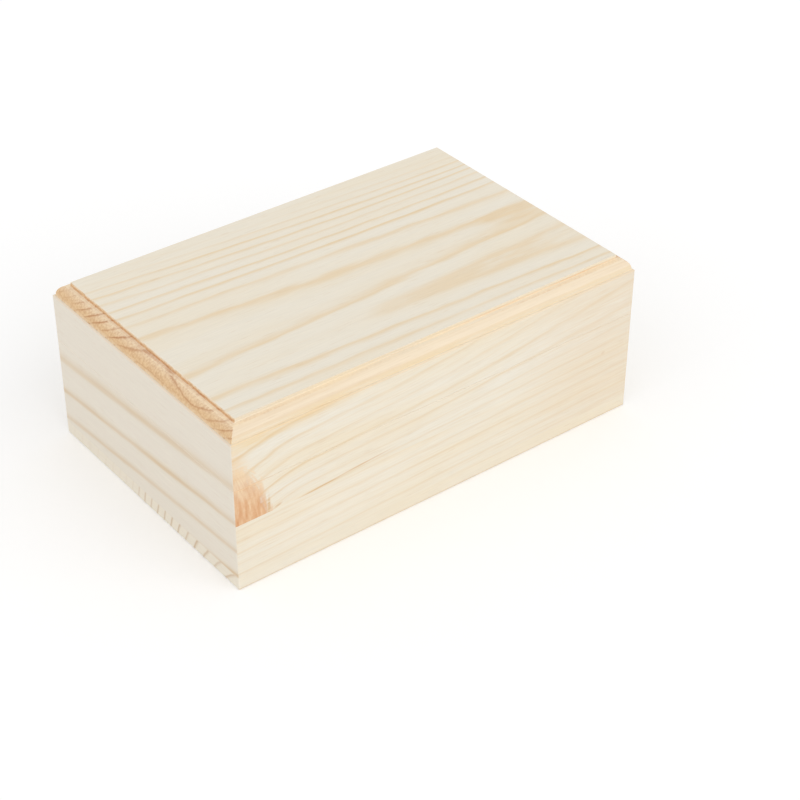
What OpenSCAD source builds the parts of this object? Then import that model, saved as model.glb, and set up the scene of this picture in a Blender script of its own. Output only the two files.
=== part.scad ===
// Hinged pine keepsake box.
// Mitred walls stand on a solid bottom panel, and a moulded top panel is glued on the lid's rails.
// The box is glued up shut and the lid is sawn off, so the rims match all round.
// Two small butt hinges are let into the back rims.
// Millimetres. The origin is the middle of the underside, +X runs to the right,
// -Y to the front and +Z up.

/* [Box] */
// Outer length, left to right
box_length = 170; // [120:1:260]
// Outer depth, front to back
box_depth = 110; // [80:1:180]
// Height of the base, from the underside to its rim
base_height = 40; // [34:0.5:80]
// Height of the lid's rails, from their rim to the top panel
lid_rail_height = 17.95; // [14:0.05:40]
// Gap between the two rims when the lid is shut
lid_gap = 0.05; // [0.05:0.05:0.3]

/* [Boards] */
// Thickness of the wall boards and of the lid's rails
wall_thickness = 8; // [7:0.5:12]
// Thickness of the bottom panel
bottom_thickness = 5; // [3:0.5:8]
// Height of the lower of the two strips that make the front wall
lower_strip_height = 21.2; // [10:0.1:24]
// Radius of the sanded outside edges
arris_radius = 0.5; // [0.2:0.05:0.6]
// Radius of the sawn edges along the two rims
rim_radius = 0.1; // [0.1:0.05:0.3]

/* [Moulded top panel] */
// Thickness of the top panel
panel_thickness = 5.6; // [5.4:0.1:9]
// Width of the rails' top that shows outside the panel
ledge_width = 0.9; // [0.8:0.1:2]
// Radius of the quarter round along the panel's edge
round_radius = 4; // [2.5:0.1:4.2]
// Height of the square step above the quarter round
step_height = 1.4; // [0.4:0.1:1.6]
// Radius that the cutter leaves at the foot of the step
cutter_radius = 0.35; // [0.1:0.05:0.6]
// Width of the sanded bevel at the foot of the quarter round
foot_bevel = 0.3; // [0.1:0.05:0.4]

/* [Hinges] */
// Length of each hinge along its pin
hinge_length = 25; // [18:1:40]
// Distance from the box's end to the middle of a hinge
hinge_inset = 35; // [24:1:50]
// Thickness of the hinge leaves
leaf_thickness = 0.9; // [0.7:0.1:1.4]
// How far a leaf reaches into the wall from the back face
leaf_reach = 5.5; // [4.5:0.1:6.5]
// Gap between the two leaves when the lid is shut
leaf_gap = 0.2; // [0.1:0.05:0.5]
// Diameter of the hinge pin
pin_diameter = 1.6; // [1.2:0.1:2.4]
// Metal left around the pin in a knuckle
barrel_wall = 0.8; // [0.6:0.05:1.2]
// Number of knuckles along a hinge, shared by its two leaves
knuckle_count = 5; // [3:2:7]
// Diameter of the button at each end of the pin
pin_button_diameter = 2.5; // [2:0.1:3]
// Height of that button
pin_button_height = 0.5; // [0.3:0.1:0.8]

/* [Hinge screws] */
// Diameter of the screw's shank
screw_diameter = 2; // [1.6:0.1:2.4]
// Diameter of the countersunk head
screw_head_diameter = 3.4; // [3:0.1:4]
// Length from the top of the head to the point
screw_length = 9; // [7:0.5:12]
// Length of the tapered point
screw_point_length = 2.5; // [1:0.1:4]
// Diameter of the point's blunt end
screw_point_diameter = 0.5; // [0.3:0.1:1]
// Distance from the leaf's end to a screw
screw_end_distance = 5; // [3:0.1:7]
// Length of each arm of the cross recess, from tip to tip
recess_length = 1.9; // [1.2:0.1:2.2]
// Width of each arm of the cross recess
recess_width = 0.45; // [0.3:0.05:0.6]
// Depth of the cross recess
recess_depth = 0.5; // [0.3:0.05:0.7]

/* [Clearances] */
// Radial clearance of the pin in its knuckles
pin_clearance = 0.04; // [0.02:0.01:0.08]
// Gap between the barrel and the back of the box
barrel_clearance = 0.3; // [0.2:0.05:0.6]
// Gap between neighbouring knuckles
knuckle_gap = 0.2; // [0.1:0.05:0.4]
// Gap between a leaf's edge and its mortise
mortise_clearance = 0.15; // [0.1:0.05:0.3]
// Radial clearance of a screw in the leaf and in its pilot hole
screw_clearance = 0.04; // [0.02:0.01:0.1]
// Depth of the pilot hole below the screw's point
pilot_spare = 0.5; // [0.2:0.1:2]

/* [Hidden] */
$fn = 64;

pine = "#ead9b9";
end_grain_pine = "#e2c99b";
brass = "#c9a24a";
steel = "#b9b9b4";

left = -1;
right = 1;

// Heights of the joints between the boards
strip_joint_z = bottom_thickness + lower_strip_height;
lid_rim_z = base_height + lid_gap;
panel_z = lid_rim_z + lid_rail_height;

// Height at which the quarter round starts on the panel's edge
round_start = panel_thickness - step_height - round_radius;

// Height above that start at which the cutter's radius runs into the step
cove_rise = sqrt(pow(round_radius + cutter_radius, 2) - pow(cutter_radius, 2));

// The foot of the moulding stays on the flat of the ledge
foot_width = min(foot_bevel, ledge_width - arris_radius);

// The hinge pin lies behind the back face, level with the middle of the parting gap
barrel_radius = pin_diameter / 2 + pin_clearance + barrel_wall;
pin_offset = barrel_radius + barrel_clearance;
pin_y = box_depth / 2 + pin_offset;
pin_z = base_height + lid_gap / 2;
bore_radius = pin_diameter / 2 + pin_clearance;
knuckle_pitch = hinge_length / knuckle_count;

// The head's cone has sides at 45 degrees
screw_head_height = (screw_head_diameter - screw_diameter) / 2;
screw_x = hinge_length / 2 - screw_end_distance;
screw_y = -pin_offset - leaf_reach / 2;

// Extra length that takes a cut clear of the face it opens
overcut = 1;

function hinge_x(side) = side * (box_length / 2 - hinge_inset);

// Corner that sanding takes off, between two edges that meet at the origin
module arris_waste(radius) {
    difference() {
        translate([-overcut, -overcut])
            square(radius + overcut);
        translate([radius, radius])
            circle(r = radius);
        translate([radius, -2 * overcut])
            square(2 * radius + 4 * overcut);
        translate([-2 * overcut, radius])
            square(2 * radius + 4 * overcut);
    }
}

// Plan of the whole box, with its vertical corners sanded
module box_plan() {
    difference() {
        square([box_length, box_depth], center = true);
        for (x_side = [0, 1], y_side = [0, 1])
            mirror([x_side, 0])
                mirror([0, y_side])
                    translate([-box_length / 2, -box_depth / 2])
                        arris_waste(arris_radius);
    }
}

// Plan of a board along the front, mitred at both ends
module long_board_plan() {
    half_length = box_length / 2;
    half_depth = box_depth / 2;
    intersection() {
        box_plan();
        polygon([
            [-half_length, -half_depth],
            [half_length, -half_depth],
            [half_length - wall_thickness, wall_thickness - half_depth],
            [wall_thickness - half_length, wall_thickness - half_depth]
        ]);
    }
}

// Plan of a board along the left end, mitred at both ends
module short_board_plan() {
    half_length = box_length / 2;
    half_depth = box_depth / 2;
    intersection() {
        box_plan();
        polygon([
            [-half_length, -half_depth],
            [wall_thickness - half_length, wall_thickness - half_depth],
            [wall_thickness - half_length, half_depth - wall_thickness],
            [-half_length, half_depth]
        ]);
    }
}

// Section through a board, with its outside edges eased by the two radii
module board_section(thickness, height, low_radius, high_radius) {
    difference() {
        square([thickness, height]);
        if (low_radius > 0)
            arris_waste(low_radius);
        if (high_radius > 0)
            translate([0, height])
                mirror([0, 1])
                    arris_waste(high_radius);
    }
}

// Front board from one height to another
module long_board(low_z, high_z, low_radius, high_radius) {
    intersection() {
        translate([0, 0, low_z])
            linear_extrude(high_z - low_z)
                long_board_plan();
        translate([-box_length / 2, -box_depth / 2, low_z])
            rotate([90, 0, 90])
                linear_extrude(box_length)
                    board_section(wall_thickness, high_z - low_z, low_radius, high_radius);
    }
}

// Left end board from one height to another
module short_board(low_z, high_z, low_radius, high_radius) {
    intersection() {
        translate([0, 0, low_z])
            linear_extrude(high_z - low_z)
                short_board_plan();
        translate([-box_length / 2, box_depth / 2, low_z])
            rotate([90, 0, 0])
                linear_extrude(box_depth)
                    board_section(wall_thickness, high_z - low_z, low_radius, high_radius);
    }
}

// Section across the bottom panel, with its lower edges eased
module bottom_section(width) {
    difference() {
        translate([-width / 2, 0])
            square([width, bottom_thickness]);
        for (side = [0, 1])
            mirror([side, 0])
                translate([-width / 2, 0])
                    arris_waste(arris_radius);
    }
}

// Wood that the cutter takes off the panel's edge, from the middle of the quarter round
module moulding_waste() {
    difference() {
        translate([0, -round_start])
            square([round_radius + foot_width + overcut, panel_thickness + overcut]);
        circle(r = round_radius);
        translate([0, -round_start])
            polygon([
                [-overcut, 0],
                [round_radius + foot_width, 0],
                [round_radius, foot_width],
                [round_radius, round_start],
                [-overcut, round_start]
            ]);
        difference() {
            polygon([[-overcut, 0], [0, 0], [cutter_radius, cove_rise], [-overcut, cove_rise]]);
            translate([cutter_radius, cove_rise])
                circle(r = cutter_radius);
        }
    }
}

// Section across the top panel: a square step over a quarter round, along both edges
module moulded_section(width) {
    half = width / 2 - ledge_width;
    difference() {
        translate([-half - foot_width, 0])
            square([2 * (half + foot_width), panel_thickness]);
        for (side = [0, 1])
            mirror([side, 0])
                translate([half - round_radius, round_start])
                    moulding_waste();
    }
}

// Countersunk screw pointing down, with the top of its head at the origin
module screw() {
    shank_radius = screw_diameter / 2;
    difference() {
        rotate_extrude()
            polygon([
                [0, -screw_length],
                [screw_point_diameter / 2, -screw_length],
                [shank_radius, screw_point_length - screw_length],
                [shank_radius, -screw_head_height],
                [screw_head_diameter / 2, 0],
                [0, 0]
            ]);
        for (turn = [0, 90])
            rotate([0, 0, turn])
                translate([-recess_length / 2, -recess_width / 2, -recess_depth])
                    cube([recess_length, recess_width, recess_depth + overcut]);
    }
}

// Space that a screw needs: its countersink, shank hole and pilot hole
module screw_space() {
    hole_radius = screw_diameter / 2 + screw_clearance;
    hole_depth = screw_length + pilot_spare;
    sink_radius = screw_head_diameter / 2 + screw_clearance;
    translate([0, 0, -hole_depth])
        cylinder(r = hole_radius, h = hole_depth);
    translate([0, 0, -screw_head_height])
        cylinder(r1 = hole_radius, r2 = sink_radius, h = screw_head_height);
    cylinder(r = sink_radius, h = overcut);
}

// The hinge modules share one frame: the pin runs along X through the origin, and the base
// leaf lies below it, towards -Y
module at_screws() {
    for (side = [left, right])
        translate([side * screw_x, screw_y, -leaf_gap / 2])
            children();
}

// One leaf: a plate with screw holes, and every other knuckle of the barrel
module hinge_leaf(first_knuckle) {
    plate_z = -leaf_gap / 2 - leaf_thickness;
    knuckle_length = knuckle_pitch - knuckle_gap;
    difference() {
        union() {
            translate([-hinge_length / 2, -pin_offset - leaf_reach, plate_z])
                cube([hinge_length, leaf_reach, leaf_thickness]);
            for (index = [first_knuckle : 2 : knuckle_count - 1])
                translate([(index + 0.5) * knuckle_pitch - hinge_length / 2, 0, 0]) {
                    rotate([0, 90, 0])
                        cylinder(r = barrel_radius, h = knuckle_length, center = true);
                    translate([-knuckle_length / 2, -pin_offset, plate_z])
                        cube([knuckle_length, pin_offset, leaf_thickness]);
                }
        }
        rotate([0, 90, 0])
            cylinder(r = bore_radius, h = hinge_length + 2 * overcut, center = true);
        at_screws()
            screw_space();
    }
}

// Wire pin with a button formed at each end
module hinge_pin() {
    button_radius = pin_button_diameter / 2;
    crown_radius = button_radius - pin_button_height / 2;
    rotate([0, 90, 0]) {
        cylinder(r = pin_diameter / 2, h = hinge_length, center = true);
        for (end = [0, 1])
            mirror([0, 0, end])
                translate([0, 0, hinge_length / 2])
                    rotate_extrude()
                        polygon([
                            [0, 0],
                            [button_radius, 0],
                            [button_radius, pin_button_height / 2],
                            [crown_radius, pin_button_height],
                            [0, pin_button_height]
                        ]);
    }
}

module hinge_screws() {
    at_screws()
        screw();
}

// Mortise for one leaf, open at the rim and at the back, with its pilot holes
module hinge_seat() {
    seat_reach = leaf_reach + mortise_clearance;
    seat_length = hinge_length + 2 * mortise_clearance;
    seat_floor = -leaf_gap / 2 - leaf_thickness;
    translate([-seat_length / 2, -pin_offset - seat_reach, seat_floor])
        cube([seat_length, seat_reach + overcut, overcut - seat_floor]);
    at_screws()
        screw_space();
}

module at_hinge(side) {
    translate([hinge_x(side), pin_y, pin_z])
        children();
}

// The lid's leaves, screws and seats are the base's, turned over
module turned_over() {
    mirror([0, 0, 1])
        children();
}

module bottom_panel() {
    color(end_grain_pine)
        intersection() {
            linear_extrude(bottom_thickness)
                box_plan();
            translate([-box_length / 2, 0, 0])
                rotate([90, 0, 90])
                    linear_extrude(box_length)
                        bottom_section(box_depth);
            translate([0, box_depth / 2, 0])
                rotate([90, 0, 0])
                    linear_extrude(box_depth)
                        bottom_section(box_length);
        }
}

module base_front_lower_strip() {
    color(pine)
        long_board(bottom_thickness, strip_joint_z, 0, 0);
}

module base_front_upper_strip() {
    color(pine)
        long_board(strip_joint_z, base_height, 0, rim_radius);
}

module base_back_wall() {
    color(pine)
        difference() {
            mirror([0, 1, 0])
                long_board(bottom_thickness, base_height, 0, rim_radius);
            for (side = [left, right])
                at_hinge(side)
                    hinge_seat();
        }
}

module base_left_wall() {
    color(pine)
        short_board(bottom_thickness, base_height, 0, rim_radius);
}

module base_right_wall() {
    color(pine)
        mirror([1, 0, 0])
            short_board(bottom_thickness, base_height, 0, rim_radius);
}

module hinge_base_leaf(side) {
    color(brass)
        at_hinge(side)
            hinge_leaf(0);
}

module hinge_pin_in_place(side) {
    color(steel)
        at_hinge(side)
            hinge_pin();
}

module hinge_base_screws(side) {
    color(brass)
        at_hinge(side)
            hinge_screws();
}

module lid_top_panel() {
    color(pine)
        translate([0, 0, panel_z])
            intersection() {
                translate([-box_length / 2, 0, 0])
                    rotate([90, 0, 90])
                        linear_extrude(box_length)
                            moulded_section(box_depth);
                translate([0, box_depth / 2, 0])
                    rotate([90, 0, 0])
                        linear_extrude(box_depth)
                            moulded_section(box_length);
            }
}

module lid_front_rail() {
    color(pine)
        long_board(lid_rim_z, panel_z, rim_radius, arris_radius);
}

module lid_back_rail() {
    color(pine)
        difference() {
            mirror([0, 1, 0])
                long_board(lid_rim_z, panel_z, rim_radius, arris_radius);
            for (side = [left, right])
                at_hinge(side)
                    turned_over()
                        hinge_seat();
        }
}

module lid_left_rail() {
    color(pine)
        short_board(lid_rim_z, panel_z, rim_radius, arris_radius);
}

module lid_right_rail() {
    color(pine)
        mirror([1, 0, 0])
            short_board(lid_rim_z, panel_z, rim_radius, arris_radius);
}

module hinge_lid_leaf(side) {
    color(brass)
        at_hinge(side)
            turned_over()
                hinge_leaf(1);
}

module hinge_lid_screws(side) {
    color(brass)
        at_hinge(side)
            turned_over()
                hinge_screws();
}

bottom_panel();
base_front_lower_strip();
base_front_upper_strip();
base_back_wall();
base_left_wall();
base_right_wall();
hinge_base_leaf(left);  // left_hinge_base_leaf
hinge_base_leaf(right);  // right_hinge_base_leaf
hinge_pin_in_place(left);  // left_hinge_pin
hinge_pin_in_place(right);  // right_hinge_pin
hinge_base_screws(left);  // left_hinge_base_screws
hinge_base_screws(right);  // right_hinge_base_screws
lid_top_panel();
lid_front_rail();
lid_back_rail();
lid_left_rail();
lid_right_rail();
hinge_lid_leaf(left);  // left_hinge_lid_leaf
hinge_lid_leaf(right);  // right_hinge_lid_leaf
hinge_lid_screws(left);  // left_hinge_lid_screws
hinge_lid_screws(right);  // right_hinge_lid_screws
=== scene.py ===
import math

import bmesh
import bpy
from mathutils import Matrix, Vector


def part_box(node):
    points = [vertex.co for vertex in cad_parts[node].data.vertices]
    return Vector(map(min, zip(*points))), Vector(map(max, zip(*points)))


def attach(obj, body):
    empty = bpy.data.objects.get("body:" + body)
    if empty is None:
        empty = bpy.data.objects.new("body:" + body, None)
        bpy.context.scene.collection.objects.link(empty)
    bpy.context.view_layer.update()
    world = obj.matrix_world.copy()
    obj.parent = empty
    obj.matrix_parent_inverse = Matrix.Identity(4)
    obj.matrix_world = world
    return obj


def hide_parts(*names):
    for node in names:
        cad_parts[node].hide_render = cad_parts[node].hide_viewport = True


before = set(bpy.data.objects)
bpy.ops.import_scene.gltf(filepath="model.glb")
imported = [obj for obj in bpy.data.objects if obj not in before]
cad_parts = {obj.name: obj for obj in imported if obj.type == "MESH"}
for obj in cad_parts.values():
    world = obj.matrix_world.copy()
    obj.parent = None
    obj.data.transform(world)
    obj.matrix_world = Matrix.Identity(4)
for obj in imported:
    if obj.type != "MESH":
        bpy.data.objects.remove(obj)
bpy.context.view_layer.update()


# Bottom panel
# A solid pine board glued under the walls and flush with them, its grain along the box.
# It is bare and sanded, and the cut ends of its rings show as short ticks at the left and right.
def linear(code):
    """Linear colour of an sRGB hex value."""
    shares = [int(code[i:i + 2], 16) / 255 for i in (1, 3, 5)]
    return [s / 12.92 if s <= 0.04045 else ((s + 0.055) / 1.055) ** 2.4 for s in shares] + [1.0]


def add(tree, kind, inputs, out=0, **settings):
    """Adds a node with its settings, sets or links its inputs, and gives back one output."""
    made = tree.nodes.new(kind)
    for key, value in settings.items():
        setattr(made, key, value)
    for key, value in inputs.items():
        if isinstance(value, bpy.types.NodeSocket):
            tree.links.new(value, made.inputs[key])
        else:
            made.inputs[key].default_value = value
    return made.outputs[out] if made.outputs else made


# Bare pine, planed and sanded. Each year's ring starts cream and ends in a thin tan line. The rings
# are cut out of one log per board, so that its faces, edges and ends agree. Edges that were rounded
# over look warmer, because the fibres are cut at a slant, and cut ends are orange with thin lines.
EARLYWOOD = linear("#ebe4d5")
WARM_EARLYWOOD = linear("#ece0c9")
LATEWOOD = linear("#e6cda6")
WORKED_EDGE = linear("#eeddc3")
RESIN = linear("#cda679")
# A cut end: its wood where cut at a slant and where cut squarely, its lines, the share of the lines that
# shows where the cut is square, and the share of their brown in the flecks between them
PALE_END = (linear("#efe7d7"), linear("#eee5d4"), linear("#c29b6c"), 1.0, 0.02)

# Length along the grain and width across it of each pattern, in millimetres, with its detail. Real fibres
# are finer than a pixel, so fibre, dash and fleck are drawn as coarse as they need to be to show.
PINE_PATTERNS = {
    "wander": (90, 30, 1),
    "ripple": (16, 3, 2),
    "tint": (70, 10, 2),
    "fibre": (10, 0.35, 3),
    "dash": (6, 0.45, 0),
    "draw": (80, 1.3, 1),
    "fleck": (0.8, 0.8, 2),
}
# How far two of the patterns shift the rings, in millimetres
RING_SWINGS = {"wander": 0.9, "ripple": 0.8}
# How dark the wood is at points through a year, and how much thinner the lines are on cut ends
YEAR_PROFILE = ((0.08, 0.0), (0.28, 0.14), (0.41, 0.62), (0.49, 1.0), (0.55, 0.92), (0.62, 0.3),
                (0.72, 0.0))
END_FINENESS = 1.8
# Length in which a line comes and goes, in millimetres, and a step in that pattern from year to year
FADE_LENGTH = 40
YEAR_STEP = 7.3
# Length and width of the fine streaks between the lines, in millimetres
STREAK_LENGTH, STREAK_WIDTH = 20, 0.55
# How far the fibres stand proud, in metres
FIBRE_RELIEF = 0.00008
MM_PER_M = 1000


def bend_rings(tree, mm, depth, warps):
    """Bends rings: each warp adds to the distance through them, by an amount that grows along its ramps."""
    for amount, *ramps in warps:
        share = amount
        for direction, low, high in ramps:
            reach = add(tree, "ShaderNodeVectorMath", {0: mm, 1: direction}, "Value",
                        operation="DOT_PRODUCT")
            part = add(tree, "ShaderNodeMapRange", {"Value": reach, "From Min": low, "From Max": high},
                       interpolation_type="SMOOTHSTEP")
            share = add(tree, "ShaderNodeMath", {0: part, 1: share}, operation="MULTIPLY")
        depth = add(tree, "ShaderNodeMath", {0: depth, 1: share}, operation="ADD")
    return depth


def log_rings(pith, lean, *warps):
    """Rings of a log, bent by warps. In millimetres: pith is its axis across the grain and up, and lean
    its drift for each millimetre along the grain."""
    def field(tree, mm, along, across, up):
        side = add(tree, "ShaderNodeVectorMath", {0: mm, 1: across - lean[0] * along}, "Value",
                   operation="DOT_PRODUCT")
        rise = add(tree, "ShaderNodeVectorMath", {0: mm, 1: up - lean[1] * along}, "Value",
                   operation="DOT_PRODUCT")
        side = add(tree, "ShaderNodeMath", {0: side, 1: pith[0]}, operation="SUBTRACT")
        rise = add(tree, "ShaderNodeMath", {0: rise, 1: pith[1]}, operation="SUBTRACT")
        spoke = add(tree, "ShaderNodeCombineXYZ", {0: side, 1: rise})
        radius = add(tree, "ShaderNodeVectorMath", {0: spoke}, "Value", operation="LENGTH")
        return bend_rings(tree, mm, radius, warps)
    return field


def pine(name, grain, rings, ring, line, tone=LATEWOOD, mark=1.0, fine=1.0, warm=1.0, edge=1.0, streaky=0.0,
         calm=None, knot=None, ends=None, seed=0):
    """Pine with its grain along X or Y. Rings gives the distance through the rings in millimetres, ring is
    one ring's width and line where a line lies. Tone is the lines' colour, mark their strength and fine how
    thin they are, warm is how much the cream turns to straw, edge how warm the worked edges are, streaky how
    much fine streaks show between the lines, and the lines fade to a share along calm. Knot gives a knot's
    middle, half size and pull on the rings, and ends the look of the cut ends."""
    material = bpy.data.materials.new(name)
    material.use_nodes = True
    tree = material.node_tree
    along = Vector((1, 0, 0)) if grain == "X" else Vector((0, 1, 0))
    across = Vector((0, 1, 0)) if grain == "X" else Vector((1, 0, 0))
    up = Vector((0, 0, 1))
    place = add(tree, "ShaderNodeTexCoord", {}, "Object")
    mm = add(tree, "ShaderNodeVectorMath", {0: place, "Scale": MM_PER_M}, operation="SCALE")
    noise = {}
    for order, (pattern, (length, width, detail)) in enumerate(PINE_PATTERNS.items()):
        spot = add(tree, "ShaderNodeVectorMath",
                   {0: mm, 1: along / length + (across + up) / width, 2: (seed, order, -seed)},
                   operation="MULTIPLY_ADD")
        noise[pattern] = add(tree, "ShaderNodeTexNoise", {"Vector": spot, "Scale": 1, "Detail": detail})

    # Distance through the rings, with slow and quick waviness
    radius = rings(tree, mm, along, across, up)
    for pattern, swing in RING_SWINGS.items():
        middle = add(tree, "ShaderNodeMath", {0: noise[pattern], 1: 0.5}, operation="SUBTRACT")
        radius = add(tree, "ShaderNodeMath", {0: middle, 1: swing, 2: radius}, operation="MULTIPLY_ADD")
    if knot:
        centre, size, swirl = knot
        spot_in_knot = add(tree, "ShaderNodeVectorMath",
                           {0: mm, 1: (1 / size[0], 0, 1 / size[1]),
                            2: (-centre[0] / size[0], 0, -centre[1] / size[1])}, operation="MULTIPLY_ADD")
        reach = add(tree, "ShaderNodeVectorMath", {0: spot_in_knot}, "Value", operation="LENGTH")
        pull = add(tree, "ShaderNodeMapRange",
                   {"Value": reach, "From Min": KNOT_BEND[0], "From Max": KNOT_BEND[1]})
        pull = add(tree, "ShaderNodeMath", {0: pull, 1: pull}, operation="MULTIPLY")
        radius = add(tree, "ShaderNodeMath", {0: pull, 1: swirl, 2: radius}, operation="MULTIPLY_ADD")

    # Years, each with its own strength of line, which also comes and goes along the grain
    years = add(tree, "ShaderNodeMath", {0: radius, 1: 1 / ring, 2: 0.5 - line / ring},
                operation="MULTIPLY_ADD")
    year = add(tree, "ShaderNodeMath", {0: years}, operation="FLOOR")
    chance = add(tree, "ShaderNodeTexWhiteNoise", {"W": year}, noise_dimensions="1D")
    strength = add(tree, "ShaderNodeMapRange", {"Value": chance, "To Min": 0.6 * mark, "To Max": mark})
    if calm:
        direction, low, high, share = calm
        still = add(tree, "ShaderNodeVectorMath", {0: mm, 1: direction}, "Value", operation="DOT_PRODUCT")
        still = add(tree, "ShaderNodeMapRange",
                    {"Value": still, "From Min": low, "From Max": high, "To Min": 1, "To Max": share})
        strength = add(tree, "ShaderNodeMath", {0: strength, 1: still}, operation="MULTIPLY")
    spot = add(tree, "ShaderNodeVectorMath", {0: mm, 1: along / FADE_LENGTH}, operation="MULTIPLY")
    spot = add(tree, "ShaderNodeVectorMath", {0: (YEAR_STEP, YEAR_STEP, seed), 1: year, 2: spot},
               operation="MULTIPLY_ADD")
    fade = add(tree, "ShaderNodeTexNoise", {"Vector": spot, "Scale": 1, "Detail": 1})
    fade = add(tree, "ShaderNodeMapRange",
               {"Value": fade, "From Min": 0.3, "From Max": 0.65, "To Min": 0.6, "To Max": 1.0})
    strength = add(tree, "ShaderNodeMath", {0: strength, 1: fade}, operation="MULTIPLY")
    season = add(tree, "ShaderNodeMath", {0: years}, operation="FRACT")
    profile = add(tree, "ShaderNodeValToRGB", {0: season})
    stops = profile.node.color_ramp.elements
    while len(stops) < len(YEAR_PROFILE):
        stops.new(1.0)
    for stop, (position, share) in zip(stops, YEAR_PROFILE):
        stop.position = position
        stop.color = (share, share, share, 1)
    late = add(tree, "ShaderNodeMath", {0: profile, 1: fine}, operation="POWER")
    late = add(tree, "ShaderNodeMath", {0: late, 1: strength}, operation="MULTIPLY")

    # Long grain: cream to tan with a few short resin dashes, and warmer on rounded edges
    tint = add(tree, "ShaderNodeMapRange",
               {"Value": noise["tint"], "From Min": 0.3, "From Max": 0.7, "To Max": warm})
    early = add(tree, "ShaderNodeMix", {0: tint, 6: EARLYWOOD, 7: WARM_EARLYWOOD}, 2, data_type="RGBA")
    facing = add(tree, "ShaderNodeTexCoord", {}, "Normal")
    facing = add(tree, "ShaderNodeVectorMath", {0: facing}, operation="ABSOLUTE")
    facing = add(tree, "ShaderNodeSeparateXYZ", {0: facing}).node.outputs
    slant = add(tree, "ShaderNodeMath", {0: facing["X"], 1: facing["Y"]}, operation="MAXIMUM")
    slant = add(tree, "ShaderNodeMath", {0: slant, 1: facing["Z"]}, operation="MINIMUM")
    worked = add(tree, "ShaderNodeMapRange",
                 {"Value": slant, "From Min": 0.05, "From Max": 0.35, "To Max": edge})
    early = add(tree, "ShaderNodeMix", {0: worked, 6: early, 7: WORKED_EDGE}, 2, data_type="RGBA")
    soft = add(tree, "ShaderNodeMapRange", {"Value": worked, "To Min": 1.0, "To Max": 0.3})
    late = add(tree, "ShaderNodeMath", {0: late, 1: soft}, operation="MULTIPLY")
    if streaky:
        run = add(tree, "ShaderNodeVectorMath", {0: mm, 1: along}, "Value", operation="DOT_PRODUCT")
        spot = add(tree, "ShaderNodeCombineXYZ", {0: radius, 1: run, 2: seed})
        spot = add(tree, "ShaderNodeVectorMath", {0: spot, 1: (1 / STREAK_WIDTH, 1 / STREAK_LENGTH, 1)},
                   operation="MULTIPLY")
        streaks = add(tree, "ShaderNodeTexNoise", {"Vector": spot, "Scale": 1, "Detail": 2})
        streaks = add(tree, "ShaderNodeMapRange",
                      {"Value": streaks, "From Min": 0.46, "From Max": 0.68, "To Max": streaky})
        early = add(tree, "ShaderNodeMix", {0: streaks, 6: early, 7: tone}, 2, data_type="RGBA")
    face = add(tree, "ShaderNodeMix", {0: late, 6: early, 7: tone}, 2, data_type="RGBA")
    draw = add(tree, "ShaderNodeMapRange",
               {"Value": noise["draw"], "From Min": 0.42, "From Max": 0.62, "To Max": 0.16})
    draw = add(tree, "ShaderNodeMath", {0: draw, 1: worked}, operation="MULTIPLY")
    face = add(tree, "ShaderNodeMix", {0: draw, 6: face, 7: RESIN}, 2, data_type="RGBA")
    dash = add(tree, "ShaderNodeMapRange",
               {"Value": noise["dash"], "From Min": 0.71, "From Max": 0.8, "To Max": 0.13})
    face = add(tree, "ShaderNodeMix", {0: dash, 6: face, 7: RESIN}, 2, data_type="RGBA")

    # Cut ends: the same rings as thin brown lines, the wood darker the more squarely it is cut
    colour = face
    if ends:
        slant_tone, square_tone, line_tone, line_share, fleck_share = ends
        endways = facing[grain]
        cut = add(tree, "ShaderNodeMapRange", {"Value": endways, "From Min": 0.01, "From Max": 0.12},
                  interpolation_type="SMOOTHSTEP")
        square = add(tree, "ShaderNodeMapRange", {"Value": endways, "From Min": 0.2, "From Max": 0.9})
        end = add(tree, "ShaderNodeMix", {0: square, 6: slant_tone, 7: square_tone}, 2, data_type="RGBA")
        thin = add(tree, "ShaderNodeMath", {0: profile, 1: END_FINENESS}, operation="POWER")
        thin = add(tree, "ShaderNodeMath", {0: thin, 1: strength}, operation="MULTIPLY")
        faint = add(tree, "ShaderNodeMapRange",
                    {"Value": endways, "From Min": 0.9, "From Max": 0.99, "To Min": 1.0,
                     "To Max": line_share})
        thin = add(tree, "ShaderNodeMath", {0: thin, 1: faint}, operation="MULTIPLY")
        end = add(tree, "ShaderNodeMix", {0: thin, 6: end, 7: line_tone}, 2, data_type="RGBA")
        flecks = add(tree, "ShaderNodeMapRange",
                     {"Value": noise["fleck"], "From Min": 0.36, "From Max": 0.72, "To Max": fleck_share})
        end = add(tree, "ShaderNodeMix", {0: flecks, 6: end, 7: line_tone}, 2, data_type="RGBA")
        colour = add(tree, "ShaderNodeMix", {0: cut, 6: face, 7: end}, 2, data_type="RGBA")

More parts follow.
